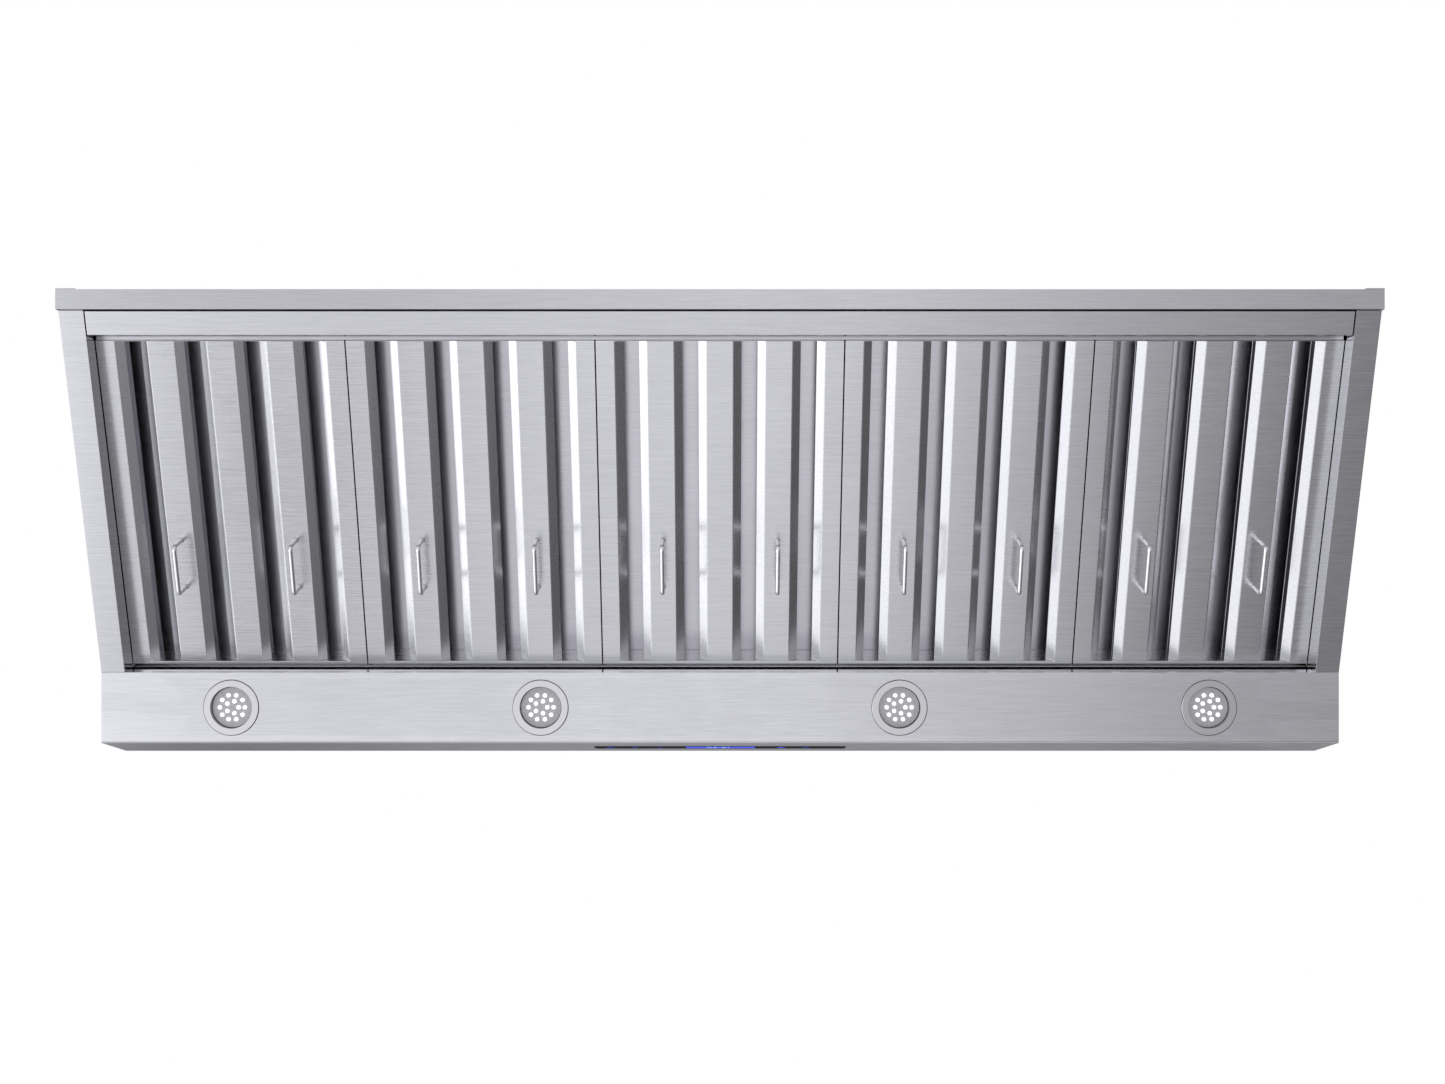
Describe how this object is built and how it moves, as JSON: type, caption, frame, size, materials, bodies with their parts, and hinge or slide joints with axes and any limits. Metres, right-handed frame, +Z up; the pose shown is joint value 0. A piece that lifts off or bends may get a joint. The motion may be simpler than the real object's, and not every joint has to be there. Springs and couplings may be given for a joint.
{
  "type": "island range hood",
  "caption": "Wide island range hood in brushed steel with sloped baffle filters, lamps, touch control, blowers and a telescoping chimney.",
  "frame": {"origin": "middle of the ceiling bracket's top face, where the hood is bolted to the ceiling", "axes": "+Z up out of the ceiling bracket, +X to the right as seen from the controls, -Y is the front with the touch control"},
  "size_m": [1.524, 0.559, 1.219],
  "materials": {
    "brushed_stainless": "fine straight brush grain, satin",
    "baffle_steel": "smooth mill finish, slightly mirror-like",
    "polished_wire": "polished",
    "lamp_trim": "spun satin",
    "lamp_plate": "satin grey",
    "led_dome": "clear domes lit white",
    "black_glass": "gloss black toughened glass",
    "circuit_board": "solder mask",
    "galvanised_steel": "galvanised sheet",
    "zinc_hardware": "bright zinc plate",
    "motor_black": "satin black enamel",
    "black_plastic": "moulded nylon",
    "driver_white": "moulded, matte"
  },
  "bodies": {
    "canopy": {"rear_panel": "brushed_stainless", "left_side_panel": "brushed_stainless", "right_side_panel": "brushed_stainless", "front_fascia": "brushed_stainless", "light_panel": "brushed_stainless", "front_roof": "brushed_stainless", "top_panel": "brushed_stainless", "filter_rear_rail": "brushed_stainless", "control_glass": "black_glass", "control_board": "circuit_board", "control_cover": "galvanised_steel", "left_blower_housing": "galvanised_steel", "right_blower_housing": "galvanised_steel", "left_blower_motor": "motor_black", "right_blower_motor": "motor_black", "outlet_plenum": "galvanised_steel", "duct_collar": "galvanised_steel", "damper_pin": "zinc_hardware", "ceiling_bracket": "galvanised_steel", "support_posts": "galvanised_steel", "frame_bolts": "zinc_hardware", "lower_chimney": "brushed_stainless", "junction_box": "galvanised_steel", "cable_gland": "black_plastic", "led_driver": "driver_white", "lamp_leds": "led_dome", "lamp_1_bezel": "lamp_trim", "lamp_1_module": "lamp_plate", "lamp_2_bezel": "lamp_trim", "lamp_2_module": "lamp_plate", "lamp_3_bezel": "lamp_trim", "lamp_3_module": "lamp_plate", "lamp_4_bezel": "lamp_trim", "lamp_4_module": "lamp_plate"},
    "tray": {"grease_tray": "brushed_stainless"},
    "filter_1": {"filter_1_frame": "brushed_stainless", "filter_1_lower_baffles": "brushed_stainless", "filter_1_upper_baffles": "baffle_steel", "filter_1_handles": "polished_wire"},
    "filter_2": {"filter_2_frame": "brushed_stainless", "filter_2_lower_baffles": "brushed_stainless", "filter_2_upper_baffles": "baffle_steel", "filter_2_handles": "polished_wire"},
    "filter_3": {"filter_3_frame": "brushed_stainless", "filter_3_lower_baffles": "brushed_stainless", "filter_3_upper_baffles": "baffle_steel", "filter_3_handles": "polished_wire"},
    "filter_4": {"filter_4_frame": "brushed_stainless", "filter_4_lower_baffles": "brushed_stainless", "filter_4_upper_baffles": "baffle_steel", "filter_4_handles": "polished_wire"},
    "filter_5": {"filter_5_frame": "brushed_stainless", "filter_5_lower_baffles": "brushed_stainless", "filter_5_upper_baffles": "baffle_steel", "filter_5_handles": "polished_wire"},
    "left_wheel": {"left_blower_wheel": "galvanised_steel"},
    "right_wheel": {"right_blower_wheel": "galvanised_steel"},
    "left_flap": {"left_damper_flap": "galvanised_steel"},
    "right_flap": {"right_damper_flap": "galvanised_steel"},
    "upper_cover": {"upper_chimney": "brushed_stainless"}
  },
  "joints": [
    {"name": "filter_1_swing", "type": "hinge", "parent": "canopy", "child": "filter_1", "pos_m": [-0.5864, 0.2248, -1.177], "axis": [1, 0, 0], "range_deg": [0, 80]},
    {"name": "filter_2_swing", "type": "hinge", "parent": "canopy", "child": "filter_2", "pos_m": [-0.2932, 0.2248, -1.177], "axis": [1, 0, 0], "range_deg": [0, 80]},
    {"name": "filter_3_swing", "type": "hinge", "parent": "canopy", "child": "filter_3", "pos_m": [0, 0.2248, -1.177], "axis": [1, 0, 0], "range_deg": [0, 80]},
    {"name": "filter_4_swing", "type": "hinge", "parent": "canopy", "child": "filter_4", "pos_m": [0.2932, 0.2248, -1.177], "axis": [1, 0, 0], "range_deg": [0, 80]},
    {"name": "filter_5_swing", "type": "hinge", "parent": "canopy", "child": "filter_5", "pos_m": [0.5864, 0.2248, -1.177], "axis": [1, 0, 0], "range_deg": [0, 80]},
    {"name": "tray_drop", "type": "slide", "parent": "canopy", "child": "tray", "axis": [0, 0, -1], "range_m": [0, 0.25]},
    {"name": "left_wheel_spin", "type": "hinge", "parent": "canopy", "child": "left_wheel", "pos_m": [-0.095, -0.022, -0.92425], "axis": [1, 0, 0], "continuous": true},
    {"name": "right_wheel_spin", "type": "hinge", "parent": "canopy", "child": "right_wheel", "pos_m": [0.095, -0.022, -0.92425], "axis": [1, 0, 0], "continuous": true},
    {"name": "left_flap_swing", "type": "hinge", "parent": "canopy", "child": "left_flap", "pos_m": [0, 0, -0.694], "axis": [0, 1, 0], "range_deg": [0, 75]},
    {"name": "right_flap_swing", "type": "hinge", "parent": "canopy", "child": "right_flap", "pos_m": [0, 0, -0.694], "axis": [0, -1, 0], "range_deg": [0, 75]},
    {"name": "upper_cover_slide", "type": "slide", "parent": "canopy", "child": "upper_cover", "axis": [0, 0, -1], "range_m": [0, 0.25]}
  ]
}
